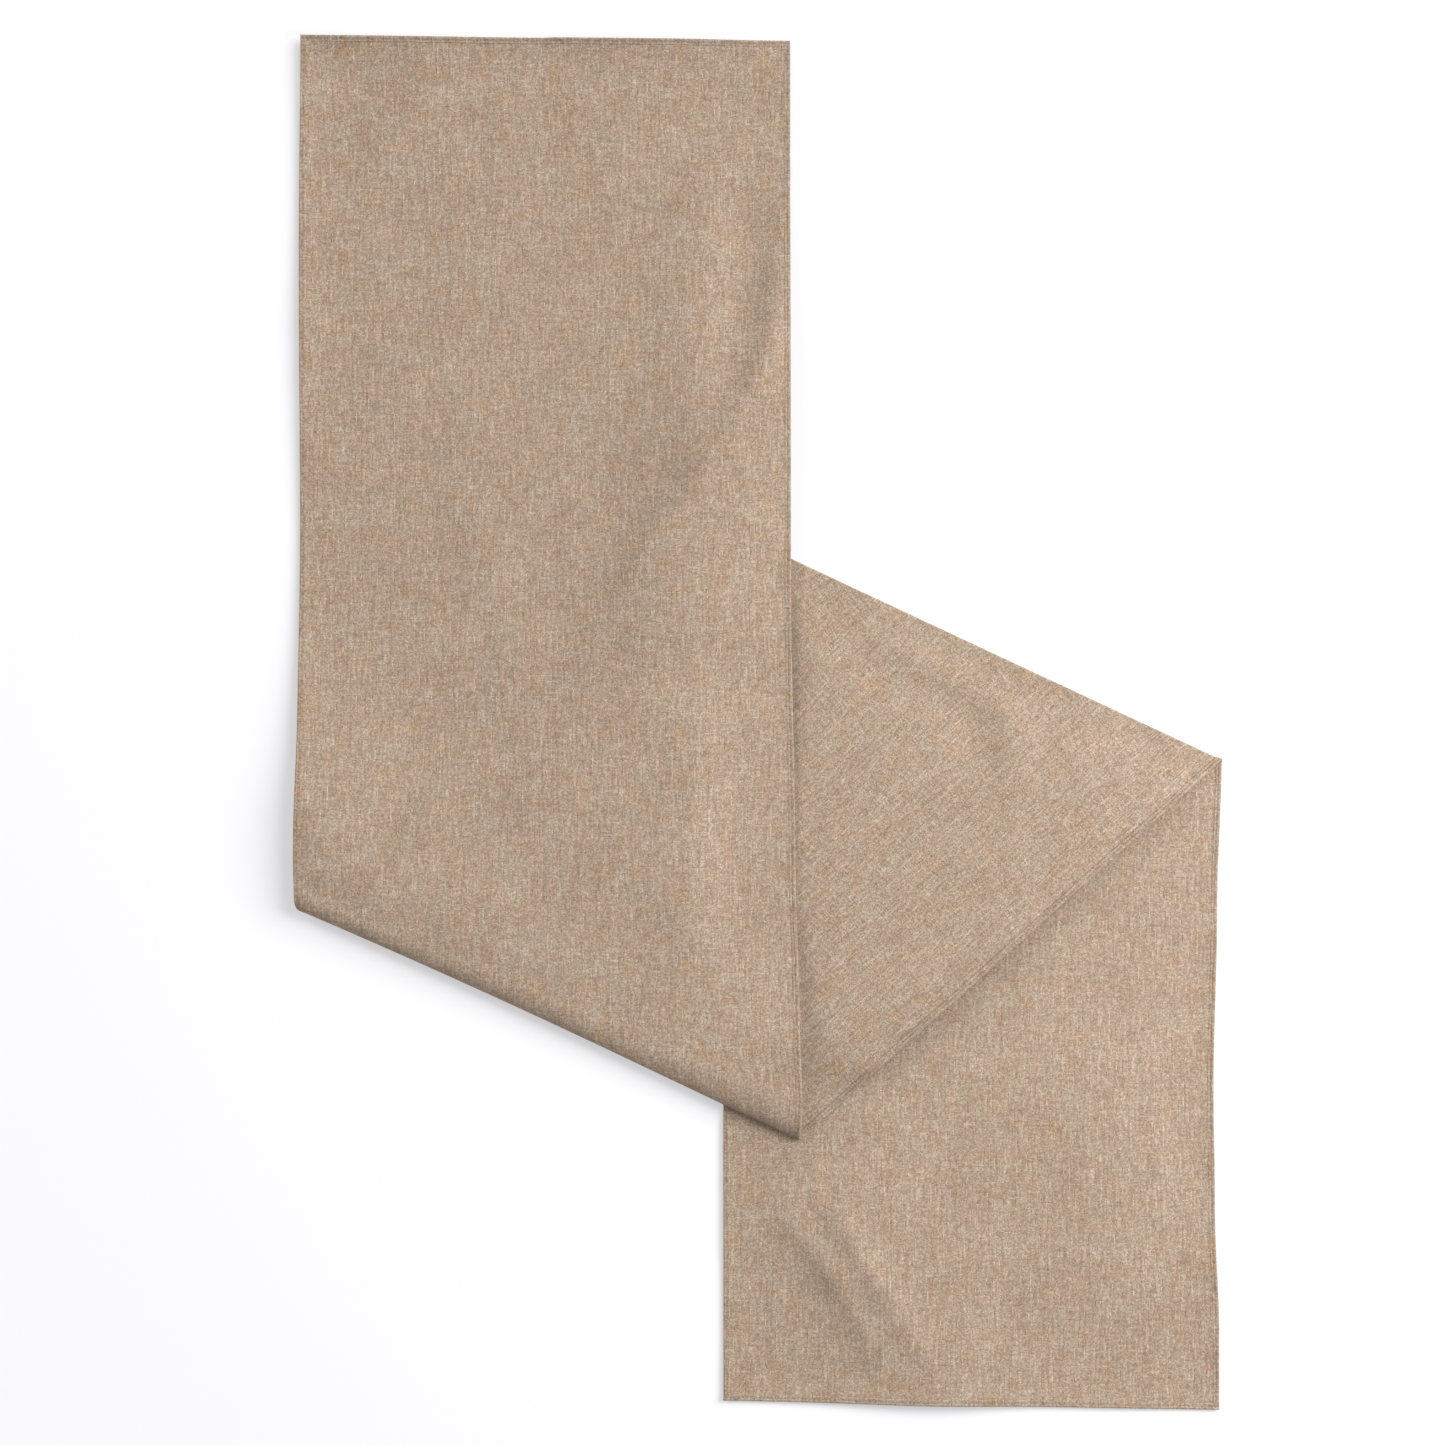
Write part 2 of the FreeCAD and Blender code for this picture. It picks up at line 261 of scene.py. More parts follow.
def slow_waves(high, shortest, longest, count=9):
    """Low rises and hollows, as in any cloth that has been folded and carried."""
    total = np.zeros(plan_x.shape)
    for _ in range(count):
        turn, shift = seeded.uniform(0, 2 * math.pi, 2)
        pace = 2 * math.pi / seeded.uniform(shortest, longest)
        total += np.sin((plan_x * math.cos(turn) + plan_y * math.sin(turn)) * pace + shift)
    return high * total / math.sqrt(count)


# %% [markdown]
# Where is each panel in plan? Undoing the folds at each grid cell gives the place on the cloth
# that would lie there, for each of the three panels in turn.

# %% Which cells each panel covers
from_crease = (plan_x - first_crease[0]) * across[0] + (plan_y - first_crease[1]) * across[1]
beside = (plan_x - first_crease[0]) * along[0] + (plan_y - first_crease[1]) * along[1]
unfolded_from = {
    "top_panel": from_crease,
    "middle_panel": ROLL_TO + ROLL_SEAM - from_crease,
    "bottom_panel": CRISP_TO - (GAP - CRISP_SEAM) + from_crease,
}
place = {}
for name, distance in unfolded_from.items():
    back = distance * COSINE - (beside + drift) * SINE
    place[name] = (TOP_LENGTH - back, distance * SINE + (beside + drift) * COSINE)


def covered(name, margin=0.0):
    """Whether each cell is under this panel, or within a margin of it."""
    run, side = place[name]
    inside = (abs(side) < WIDTH / 2 + margin) & (from_crease < GAP + margin)
    inside &= (run > -margin) & (run < CLOTH_LENGTH + margin)
    return inside if name == "bottom_panel" else inside & (from_crease > -margin)


def hem_line(name):
    """1 over a panel's side hems, and 0 away from them."""
    return np.exp(-((abs(place[name][1]) - WIDTH / 2 + HEM / 2) / HEM) ** 2) * covered(name, 4)


def lifted_edges(name, high, wide):
    """Hemmed edges spring up a little from the table, more in some places than in others."""
    run, side = place[name]
    to_end = np.abs(run if name == "top_panel" else CLOTH_LENGTH - run)
    to_edge = np.minimum(WIDTH / 2 - np.abs(side), to_end)
    unevenness = 0.8 + 0.2 * np.sin(run / 43 + np.sign(side)) * np.cos(side / 57)
    return high * unevenness * np.exp(-np.maximum(to_edge, 0) / wide)


for name in place:
    print(name, "covers", round(covered(name).sum() * STEP * STEP / 1e6, 3), "m2 in plan")

# %% [markdown]
# Cloth that has been folded and carried keeps a few soft creases. Each one is a line of points
# seen from above, and rises or sinks by up to a centimetre.

# %% The soft creases in each panel: points in plan, width and height, all in millimetres
BOTTOM_CREASES = [
    ([(22, -376), (70, -436), (108, -506)], 9, 4.0),  # a pair, slanting down from the left edge
    ([(56, -368), (98, -438), (134, -496)], 9, 4.6),
    ([(60, -340), (110, -430), (160, -560)], 60, 8.0),  # the broad rise that they run along
    ([(-50, -293), (44, -335)], 14, 2.4),  # under the first roll's right end
    ([(150, -345), (330, -370)], 90, 5.0),
    ([(250, -250), (330, -330)], 60, 2.0),
    ([(220, -440), (320, -420)], 40, 1.4),
]
MIDDLE_CREASES = [
    ([(48, 92), (80, 52), (120, 24), (172, 0), (172, -60)], 20, -3.4),  # a hooked hollow
    ([(72, 110), (102, 74), (142, 46), (196, 22), (200, -50)], 15, 3.8),  # and the rise outside it
    ([(23, 110), (23, 20), (24, -70)], 8, -4.2),  # pressed down along the top panel's edge
    ([(27, -170), (34, -270)], 8, -2.4),
    ([(290, -60), (200, -150), (90, -262)], 13, 2.6),  # two that run out of the second fold
    ([(260, 0), (190, -90), (150, -130)], 12, 1.8),
    ([(215, -166), (135, -248)], 24, 4.0),
]
TOP_CREASES = [
    ([(-48, 190), (-48, 300), (-36, 430)], 16, 2.2),  # down the right-hand side, upper half
    ([(-66, 190), (-66, 300), (-54, 430)], 30, 3.0),
    ([(-14, 300), (-14, 350), (-6, 440)], 15, -2.2),
    ([(20, 400), (6, 281), (-32, 213), (-78, 146), (-126, 72)], 12, 4.4),  # the long diagonal
    ([(40, 360), (12, 260), (-20, 190), (-60, 120), (-100, 40)], 44, 9.5),
    ([(-48, 15), (-48, -80), (-56, -185)], 17, 3.8),  # down the right-hand side, lower half
    ([(-64, 30), (-64, -80), (-76, -175)], 28, 4.6),
    ([(10, 330), (-40, 210), (-92, 90), (-112, -20), (-96, -120)], 85, 8.5),  # a broad swell
    ([(-310, 45), (-225, 50), (-150, 66)], 28, 2.6),
    ([(-225, 260), (-214, 90)], 24, 2.0),
    ([(-262, 458), (-202, 446), (-148, 474)], 11, -3.4),  # a shallow dimple near the top end
    ([(-130, -100), (-60, -140)], 34, 2.0),
]
print("creases", len(BOTTOM_CREASES), len(MIDDLE_CREASES), len(TOP_CREASES))

# %% [markdown]
# The bottom panel lies on the table. The middle one lies on it and on the table, and is held
# up at both folds. The top one is carried by the roll, slopes down over the middle panel, and
# reaches the table halfway up. A panel that lies on another keeps the two cloths and one
# hem's thickness apart, and a little more over a hem, which then shows through as a faint line.

# %% The bottom panel's height
ON_TABLE = 1.15  # the turned hem is 1.1 mm thick below the cloth's own middle
APART = 1.45
FOLD_HELD = 8.0  # the cloth runs on straight this far from a roll's seam
level = {}

bottom = ON_TABLE + 0.35 + slow_waves(0.3, 90, 240)
flatter_right = 1 - 0.6 * ease(100, 180, place["bottom_panel"][1])
bottom = bottom + lifted_edges("bottom_panel", 3.4, 10) * flatter_right
bottom = creased(bottom, BOTTOM_CREASES)
headroom = 3.6 + 12 * ease(20, 56, place["middle_panel"][1] - WIDTH / 2)
bottom = np.minimum(bottom, headroom)  # the opened top panel lies over this corner
bottom = np.maximum(smoothed(bottom, covered("bottom_panel", 8), 2), ON_TABLE)
near_crisp = ease(GAP - CRISP_SEAM - 50, GAP - CRISP_SEAM - FOLD_HELD, from_crease)
level["bottom_panel"] = bottom + (ON_TABLE - bottom) * near_crisp

# %% The middle panel's height
under_middle = np.where(
    covered("bottom_panel", 4), level["bottom_panel"] + APART + 0.9 * hem_line("bottom_panel"), 0.6
)
at_folds = (from_crease < ROLL_SEAM + FOLD_HELD) | (from_crease > GAP - CRISP_SEAM - FOLD_HELD)
middle = draped(under_middle, at_folds, UNDER_LEVEL, covered("middle_panel", 8))
middle = middle + slow_waves(0.35, 90, 220) + 4.6
open_hem = np.exp(-np.maximum(WIDTH / 2 - place["middle_panel"][1], 0) / 15)
middle = creased(middle, MIDDLE_CREASES) + 4.4 * open_hem  # the hem in the open stands up
middle = np.maximum(smoothed(middle, covered("middle_panel", 8), 2), under_middle)
free = ease(ROLL_SEAM, ROLL_SEAM + 40, from_crease) * ease(0, 40, GAP - CRISP_SEAM - from_crease)
level["middle_panel"] = UNDER_LEVEL + (middle - UNDER_LEVEL) * free

# %% [markdown]
# The top panel is not draped step by step: stiff cloth that a plump roll holds up stays clear
# of what is under it for a long way. So its height falls in one long curve, and comes down
# sooner where it has run past the middle panel's edge or past the second fold.

# %% The top panel's height
under_top = np.where(
    covered("middle_panel", 4),
    np.maximum(level["middle_panel"], 0) + APART + 0.9 * hem_line("middle_panel"),
    ON_TABLE + 0.2,
)
under_top = np.where(from_crease > GAP + 4, ON_TABLE + 0.2, under_top)
past_edge = np.maximum(-place["middle_panel"][1] - WIDTH / 2, 0) / 85
past_fold = np.maximum(from_crease - GAP, 0) / 230
fade = np.maximum(1 - np.hypot(past_edge, past_fold), 0) ** 2

LOFT_END, LOFT_LENGTH = 7.5, 250
from_roll = from_crease - ROLL_SEAM - FOLD_HELD
loft = LOFT_END + (SEAM_LEVEL - LOFT_END) * np.maximum(1 - from_roll / LOFT_LENGTH, 0) ** 1.7
loft = np.where(from_roll < 0, SEAM_LEVEL, loft)
by_roll = ease(200, 60, from_crease)
top = under_top + np.maximum(loft - under_top, 0) * (fade + (1 - fade) * by_roll)
top = smoothed(top, covered("top_panel", 8), 8)
flatter_right = 1 - 0.8 * ease(100, 185, place["top_panel"][1])
top = top + slow_waves(0.35, 110, 260) + lifted_edges("top_panel", 6.4, 14) * flatter_right
top = creased(top, TOP_CREASES)
top = np.maximum(smoothed(top, covered("top_panel", 8), 2), under_top)
free = ease(ROLL_SEAM, ROLL_SEAM + 50, from_crease)
level["top_panel"] = SEAM_LEVEL + (top - SEAM_LEVEL) * free
for name, heights in level.items():
    inside = heights[covered(name)]
    print(name, "lies from", round(inside.min(), 2), "to", round(inside.max(), 2), "mm up")


# %% [markdown]
# Heights between the grid's cells come from a cubic B-spline, whose slope has no steps in it:
# any step would show as a line in the light on the cloth.

# %% Height at any point in plan
def height_at(name, x, y):
    """A panel's height at places in plan, all in millimetres."""
    heights = level[name]
    column, row = (x - plan_x[0, 0]) / STEP, (y - plan_y[0, 0]) / STEP
    left = np.clip(np.floor(column).astype(int), 1, plan_x.shape[1] - 3)
    low = np.clip(np.floor(row).astype(int), 1, plan_x.shape[0] - 3)

    def weights(t):
        return (
            (1 - t) ** 3 / 6,
            (3 * t ** 3 - 6 * t ** 2 + 4) / 6,
            (-3 * t ** 3 + 3 * t ** 2 + 3 * t + 1) / 6,
            t ** 3 / 6,
        )

    in_x, in_y = weights(column - left), weights(row - low)
    return sum(
        in_x[i] * in_y[j] * heights[low + j - 1, left + i - 1] for i in range(4) for j in range(4)
    )


# %% [markdown]
# ## The cloth's middle surface
# One function gives the place of any point of the cloth. The panels and the rolls meet on
# slanted seams where both have the same place and the same slope. No hand-laid runner is quite
# straight: its edges wander by a few millimetres, most of all where it goes over the roll, its
# ends are a little askew, and its two folds are bowed.

# %% The place of any point of the cloth
def between(points, at):
    """A smooth line through a few (place, value) points."""
    places, values = np.array(points, float).T
    lower = np.clip(np.searchsorted(places, at) - 1, 0, len(places) - 2)
    share = ease(0, 1, (at - places[lower]) / (places[lower + 1] - places[lower]))
    return values[lower] + (values[lower + 1] - values[lower]) * share


# how far each edge is to the right of its straight line, at a few runs
LEFT_STRAY = [
    (0, 3.4), (130, 2.0), (380, 2.8), (520, 1.6), (660, -1.6),
    (800, -2.0), (1000, -4.0), (1200, -7.0), (1900, -6.6),
]
RIGHT_STRAY = [
    (0, 2.2), (420, 2.6), (640, 6.0), (745, 8.8), (835, 11.0), (862, 6.5), (1000, 3.0),
    (1290, 0.0), (1420, -4.0), (1560, -7.0), (1650, -6.0), (1750, -2.6), (1900, -2.6),
]
SKEW_LENGTH = 260  # an end's skew dies out this far from it


def through(first, last, before, after, distance):
    """1 from first down to last, easing to 0 over so many millimetres before and after."""
    return ease(first + before, first, distance) * ease(last - after, last, distance)


def slack(run, side, distance):
    """How far the cloth is off its straight lines in plan: to the right, upwards, and over."""
    share = (side / (WIDTH / 2) + 1) / 2
    rightward = between(LEFT_STRAY, run) * (1 - share) + between(RIGHT_STRAY, run) * share

    # by a fold, cloth that has strayed to the right has slid along the crease
    by_folds = through(20, ROLL_TO, 210, 230, distance)
    by_folds = by_folds + through(CRISP_FROM + 5, CRISP_TO - 5, 135, 135, distance)
    upward = -rightward * SINE / COSINE * by_folds
    upward = upward + (1.6 - 3.6 * share) * ease(SKEW_LENGTH, 0, run)
    bottom_end_near = ease(CLOTH_LENGTH - SKEW_LENGTH, CLOTH_LENGTH, run)
    upward = upward + (5.2 - 7.4 * share) * bottom_end_near

    first_bow = 2.4 + 9.6 * share * (1 - share) - 4.3 * share ** 2 + 3.0 * share ** 8
    second_bow = 5.4 - 5.7 * share + 0.8 * share ** 2
    bow = first_bow * through(0, ROLL_TO, 150, 120, distance)
    bow = bow + second_bow * through(CRISP_FROM, CRISP_TO, 150, 150, distance)
    return rightward, upward, bow


def surface(name, run, side):
    """The cloth's middle at these places: x, y and height in millimetres."""
    distance, beside_it = unfolded(run, side)
    if name == "top_panel":
        out, high = distance, None
    elif name == "middle_panel":
        out, high = ROLL_SEAM + ROLL_TO - distance, None
    elif name == "bottom_panel":
        out, high = GAP - CRISP_SEAM + distance - CRISP_TO, None
    elif name == "first_fold":
        nose = nose_level(side)
        over = (roll_reach(side), crown_level(side) - nose)
        under = (10.0 + 0 * side, nose - UNDER_LEVEL)
        out, high = roll_outline((ROLL_FROM - distance) / roll_path, ROLL_SEAM, over, under)
        above = ROLL_FROM - distance < roll_path / 2
        to_seam = np.where(above, ease(roll_reach(side), ROLL_SEAM, out), 0)
        high = high + nose + (SEAM_LEVEL - crown_level(side)) * to_seam
    else:
        over = (0.9 + 0 * side, UNDER_LEVEL - second_crease[2])
        under = (2.0 + 0 * side, second_crease[2] - ON_TABLE)
        out, high = roll_outline((CRISP_FROM - distance) / crisp_path, CRISP_SEAM, over, under)
        out, high = GAP - out, high + second_crease[2]
    x = first_crease[0] + out * across[0] + beside_it * along[0]
    y = first_crease[1] + out * across[1] + beside_it * along[1]
    rightward, upward, bow = slack(run, side, distance)
    if high is None:
        high = height_at(name, x, y)
    return np.stack([x + rightward + bow * across[0], y + upward + bow * across[1], high], -1)


def lifted(name, run, side, lift):
    """Points at a height above the cloth's middle, square to it on its face side."""
    small = 0.2
    over = surface(name, run, side + small) - surface(name, run, side - small)
    down = surface(name, run + small, side) - surface(name, run - small, side)
    facing = np.cross(over, -down)
    facing = facing / np.linalg.norm(facing, axis=-1, keepdims=True)
    return surface(name, run, side) + facing * np.asarray(lift)[..., None], facing


for name, start in (("top_panel", 0), ("bottom_panel", CLOTH_LENGTH)):
    print(name, "ends at", surface(name, np.array([start]), np.array([0.0])).round(1).tolist())

# %% [markdown]
# ## Materials
# Melange cloth: every yarn is spun from fibres dyed tan, rose, grey and cream, and its shade
# drifts along it. The warp runs the length of the strip and the weft across it. The real
# yarns are about half a millimetre apart, too fine to tell apart from where the whole runner
# is seen, so they are drawn about twice as far apart.

# %% Colours and a helper for shader nodes
def linear(code):
    """A hex sRGB colour as the linear values a shader takes."""
    channels = [int(code[i : i + 2], 16) / 255 for i in (1, 3, 5)]
    return [c / 12.92 if c <= 0.04045 else ((c + 0.055) / 1.055) ** 2.4 for c in channels] + [1]


def node(tree, kind, links=(), **settings):
    """One shader node. links maps an input to another node's output or to a fixed value."""
    made = tree.nodes.new("ShaderNode" + kind)
    for key, value in settings.items():
        setattr(made, key, value)
    for key, value in dict(links).items():
        if isinstance(value, bpy.types.NodeSocket):
            tree.links.new(value, made.inputs[key])
        else:
            made.inputs[key].default_value = value
    return made


YARN = 0.95  # millimetres from one yarn to the next
FIBRES = [
    (0.32, "#B0977D"), (0.44, "#AF9884"), (0.52, "#AC9A89"), (0.60, "#AD9A85"), (0.70, "#AE9D8B"),
]
DEEPENING = (0.86, 1.04, 1.24)  # red, green, blue: thin dark places look deeper and warmer
SLUB = [(0.22, 0.5), (0.42, 0.82), (0.53, 1.0), (0.64, 1.24), (0.78, 1.75)]  # thin to thick


def ramp(tree, factor, stops):
    """A colour ramp. A stop is a colour's code, or a shade, which is halved to fit below 1."""
    made = node(tree, "ValToRGB", {0: factor})
    while len(made.color_ramp.elements) < len(stops):
        made.color_ramp.elements.new(0.5)
    for element, (position, colour) in zip(made.color_ramp.elements, stops):
        element.position = position
        element.color = linear(colour) if isinstance(colour, str) else [colour / 2] * 3 + [1]
    return made.outputs[0]


def woven(name, brightness=1.0):
    """Plain-woven melange cloth, from dyed fibres, two sets of uneven yarns, and fluff."""
    material = bpy.data.materials.new(name)
    material.use_nodes = True
    tree = material.node_tree
    tree.nodes.clear()
    cloth_place = node(tree, "UVMap", uv_map="weave").outputs[0]
    fibres = node(
        tree, "TexNoise", {"Vector": cloth_place, "Scale": 0.055, "Detail": 5.0, "Roughness": 0.8},
        noise_dimensions="2D",
    ).outputs[0]
    dyed = ramp(tree, fibres, FIBRES)

    # warp and weft: each yarn has its own number, and thick and thin places along it
    split = node(tree, "SeparateXYZ", {0: cloth_place}).outputs
    yarns, shades, heights = [], [], []
    for own, other, length, seed in ((0, 1, 24.0, 3.0), (1, 0, 22.0, 41.0)):
        count = node(tree, "Math", {0: split[own], 1: YARN}, operation="DIVIDE").outputs[0]
        yarn = node(tree, "Math", {0: count}, operation="FLOOR").outputs[0]
        yarns.append(yarn)
        number = node(tree, "Math", {0: yarn, 1: 3.713, 2: seed}, operation="MULTIPLY_ADD").outputs[0]
        far = node(tree, "Math", {0: split[other], 1: length}, operation="DIVIDE").outputs[0]
        at = node(tree, "CombineXYZ", {0: number, 1: far}).outputs[0]
        thick = node(
            tree, "TexNoise", {"Vector": at, "Scale": 1.0, "Detail": 5.0, "Roughness": 0.78},
            noise_dimensions="2D",
        ).outputs[0]
        shades.append(ramp(tree, thick, SLUB))
        turn = node(tree, "Math", {0: count, 1: math.pi}, operation="MULTIPLY").outputs[0]
        round_top = node(tree, "Math", {0: turn}, operation="SINE").outputs[0]
        heights.append(node(tree, "Math", {0: round_top}, operation="ABSOLUTE").outputs[0])

    # warp and weft take turns on top, and fluff makes every crossing a little different
    crossing = node(tree, "CombineXYZ", {0: yarns[0], 1: yarns[1]}).outputs[0]
    uneven = node(tree, "TexWhiteNoise", {0: crossing}, noise_dimensions="2D").outputs[0]
    together = node(tree, "Math", {0: yarns[0], 1: yarns[1]}, operation="ADD").outputs[0]
    over = node(tree, "Math", {0: together, 1: 2.0}, operation="FLOORED_MODULO").outputs[0]
    share = node(tree, "MapRange", {0: over, 3: 0.14, 4: 0.60}).outputs[0]
    shade = node(tree, "Mix", {0: share, 2: shades[0], 3: shades[1]}, data_type="FLOAT").outputs[0]
    fluff = node(tree, "MapRange", {0: uneven, 3: 1.42, 4: 2.52}).outputs[0]
    shade = node(tree, "Math", {0: shade, 1: fluff}, operation="MULTIPLY").outputs[0]

    # the whole cloth is a little lighter or darker from place to place
    broad = node(
        tree, "TexNoise", {"Vector": cloth_place, "Scale": 0.02, "Detail": 2.0},
        noise_dimensions="2D",
    ).outputs[0]
    patchy = node(tree, "MapRange", {0: broad, 1: 0.3, 2: 0.7, 3: 0.965, 4: 1.035}).outputs[0]
    shade = node(tree, "Math", {0: shade, 1: patchy}, operation="MULTIPLY").outputs[0]

    tint = node(tree, "CombineXYZ")
    for channel, power in enumerate(DEEPENING):
        deeper = node(tree, "Math", {0: shade, 1: power}, operation="POWER").outputs[0]
        tree.links.new(deeper, tint.inputs[channel])
    colour = node(tree, "VectorMath", {0: dyed, 1: tint.outputs[0]}, operation="MULTIPLY").outputs[0]
    colour = node(tree, "VectorMath", {0: colour, "Scale": brightness}, operation="SCALE").outputs[0]

    weave = node(tree, "Math", {0: heights[0], 1: heights[1]}, operation="MULTIPLY").outputs[0]
    bump = node(tree, "Bump", {"Height": weave, "Strength": 0.6, "Distance": 0.00025}).outputs[0]
    shader = node(
        tree,
        "BsdfPrincipled",
        {
            "Base Color": colour,
            "Roughness": 0.92,
            "IOR": 1.5,
            "Specular IOR Level": 0.2,
            "Sheen Weight": 0.05,
            "Sheen Roughness": 0.5,
            "Normal": bump,
        },
    )
    node(tree, "OutputMaterial", {0: shader.outputs[0]})
    return material


# Dry and matt with a faint fuzz, so that folds shade softly.
cloth_material = woven("Melange polyester-linen cloth")
# The same cloth pressed hard and stitched down, drawn a little darker all over: painted shade for the
# hem's rounded edge.
hem_material = woven("Melange cloth, turned hem", 0.96)
# Spun thread in the cloth's own colours, drawn a tenth darker than the cloth, with its own shadow line
# as well.
thread_material = woven("Spun polyester sewing thread", 0.9)
FINISH = {
    "cloth": (cloth_material, "slub_weave_cloth"),
    "hem": (hem_material, "turned_hem"),
    "thread": (thread_material, "sewing_thread"),
}
print("materials", [material.name for material, _ in FINISH.values()])

# %% [markdown]
# ## The pieces
# Every piece is a ring of points carried along the cloth: the cloth's two sides, a hem's
# rounded section, or a thread's circle. Rings one after another make a closed shell. Each
# corner keeps the surface's own normal, so the light runs on over the seams between pieces.

# %% Making a piece from rings
made_pieces = {}


def build(name, kind, rings, normals, weave):
    """rings, normals: rows x points x 3 in mm. weave: rows x points x 2, the place on the cloth."""
    rows, count = rings.shape[:2]
    mesh = bpy.data.meshes.new(name)
    index = np.arange(rows * count).reshape(rows, count)
    this, after = index[:-1], index[1:]
    quads = np.stack([this, np.roll(this, -1, 1), np.roll(after, -1, 1), after], -1).reshape(-1, 4)
    half = count // 2
    for row, flip in ((0, True), (rows - 1, False)):
        # the two ends are closed with a ladder of quads from one side of the ring to the other
        a, b = index[row, : half], index[row, half:][::-1]
        ladder = np.stack([a[:-1], a[1:], b[1:], b[:-1]], -1)
        quads = np.concatenate([quads, ladder[:, ::-1] if flip else ladder])
    points = rings.reshape(-1, 3)
    corner = points[quads]
    facet = np.cross(corner[:, 2] - corner[:, 0], corner[:, 3] - corner[:, 1])
    if (facet * corner.mean(1)).sum() < 0:
        quads = quads[:, ::-1]
    mesh.from_pydata((points * MM).tolist(), [], quads.tolist())
    layer = mesh.uv_layers.new(name="weave")
    corners = np.zeros(len(mesh.loops), np.int32)
    mesh.loops.foreach_get("vertex_index", corners)
    layer.data.foreach_set("uv", weave.reshape(-1, 2)[corners].astype(np.float32).ravel())
    mesh.polygons.foreach_set("use_smooth", [True] * len(mesh.polygons))
    mesh.update()
    if normals is not None:
        mesh.normals_split_custom_set_from_vertices(normals.reshape(-1, 3).tolist())
    piece = bpy.data.objects.new(name.title(), mesh)
    bpy.context.scene.collection.objects.link(piece)
    material, slot = FINISH[kind]
    mesh.materials.append(material)
    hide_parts(name)
    made_pieces[name] = piece


PANELS = ("top_panel", "first_fold", "middle_panel", "second_fold", "bottom_panel")


def ends_of(name, side):
    """The runs at which a panel's cloth starts and ends, at each distance from the middle."""
    bounds = {
        "top_panel": (HEM - TUCKED + 0 * side, run_at(ROLL_FROM, side)),
        "first_fold": (run_at(ROLL_FROM, side), run_at(ROLL_TO, side)),
        "middle_panel": (run_at(ROLL_TO, side), run_at(CRISP_FROM, side)),
        "second_fold": (run_at(CRISP_FROM, side), run_at(CRISP_TO, side)),
        "bottom_panel": (run_at(CRISP_TO, side), CLOTH_LENGTH - HEM + TUCKED + 0 * side),
    }
    return bounds[name]


def rows_for(name, spacing):
    """Shares from 0 to 1 along a panel, so many millimetres apart."""
    start, end = ends_of(name, np.array([-WIDTH / 2, WIDTH / 2]))
    return np.linspace(0, 1, max(int(np.max(end - start) / spacing), 2) + 1)


ROW_SPACING = {"first_fold": 1.5, "second_fold": 0.6}  # the rolls are tightly curved
LEVEL_SPACING = 4.0
COLUMNS = 95
HALF_CLOTH = 0.25
TUCKED = 0.3  # how far the cloth runs into its hems

# %% [markdown]
# The cloth itself is thin, about half a millimetre, so a piece of it has a face side and a
# reverse side and hardly any edge. Its edges are tucked into the hems.

# %% The five pieces of cloth
for name in PANELS:
    rows = rows_for(name, ROW_SPACING.get(name, LEVEL_SPACING))
    columns = np.linspace(-1, 1, COLUMNS) * (WIDTH / 2 - HEM + TUCKED)
    share, side = np.meshgrid(rows, columns, indexing="ij")
    start, end = ends_of(name, side)
    run = start + (end - start) * share
    face, facing = lifted(name, run, side, HALF_CLOTH + 0 * side)
    reverse, _ = lifted(name, run, side, -HALF_CLOTH + 0 * side)
    rings = np.concatenate([face, reverse[:, ::-1]], 1)
    normals = np.concatenate([facing, -facing[:, ::-1]], 1)
    weave = np.stack([side, run], -1)
    build(name + "_cloth", "cloth", rings, normals, np.concatenate([weave, weave[:, ::-1]], 1))
print("cloth pieces", len(made_pieces))

# %% [markdown]
# A hem is the cloth's edge turned under twice, so it is three layers thick, with its extra
# thickness on the reverse side. Its outer edge is a fold and so is rounded. The row of stitches
# pulls it in: there is a groove along the row, a pit at every needle hole, and a puff between.

# %% Hem section
STITCH = 3.2  # one stitch's length
STITCH_INSET = 2.6  # the row's distance from the hem's edge
THREAD_RADIUS = 0.17
# (inset from the edge, height above the cloth's middle), from the edge over the face and back
hem_section = np.array([
    (0.00, -0.30), (0.10, 0.02), (0.40, 0.28), (1.00, 0.40), (1.80, 0.38), (2.30, 0.26),
    (2.60, 0.16), (2.90, 0.26), (3.40, 0.36), (4.40, 0.34), (5.00, 0.27),
    (5.10, -0.45), (4.95, -0.95), (4.40, -1.08), (3.30, -1.10), (2.90, -1.00), (2.60, -0.90),
    (2.30, -1.00), (1.80, -1.10), (0.80, -1.08), (0.25, -0.90), (0.03, -0.60),
])
hem_section[:, 0] *= HEM / 5


def hem_ring(along_hem):
    """Insets and lifts of the section's points, at each distance along the hem."""
    pull = np.cos(math.pi * along_hem / STITCH)[:, None] ** 8
    near = np.exp(-((hem_section[:, 0] - STITCH_INSET) / 0.7) ** 2)
    outer = np.exp(-(hem_section[:, 0] / 0.8) ** 2)
    inset = hem_section[:, 0] + 0.12 * outer * pull
    towards_middle = np.sign(hem_section[:, 1] + 0.35)
    lift = hem_section[:, 1] - towards_middle * pull * (0.22 * near + 0.05 * outer)
    lift = lift + towards_middle * (1 - pull) * 0.05 * np.exp(-((hem_section[:, 0] - 1.3) / 0.8) ** 2)
    return inset, lift


def thread_ring(along_hem, on_face, points=6):
    """A lockstitch: the thread lies along the hem between two holes, and dives into each."""
    dive = np.abs(np.cos(math.pi * along_hem / STITCH))[:, None] ** 6
    turn = np.arange(points) * 2 * math.pi / points
    middle = (0.36 - 0.42 * dive) if on_face else (-1.10 + 0.42 * dive)
    spread_out = THREAD_RADIUS * (1 + 0.15 * (1 - dive))
    return STITCH_INSET + spread_out * np.cos(turn), middle + THREAD_RADIUS * np.sin(turn)


EDGES = {"left": -1, "right": 1}


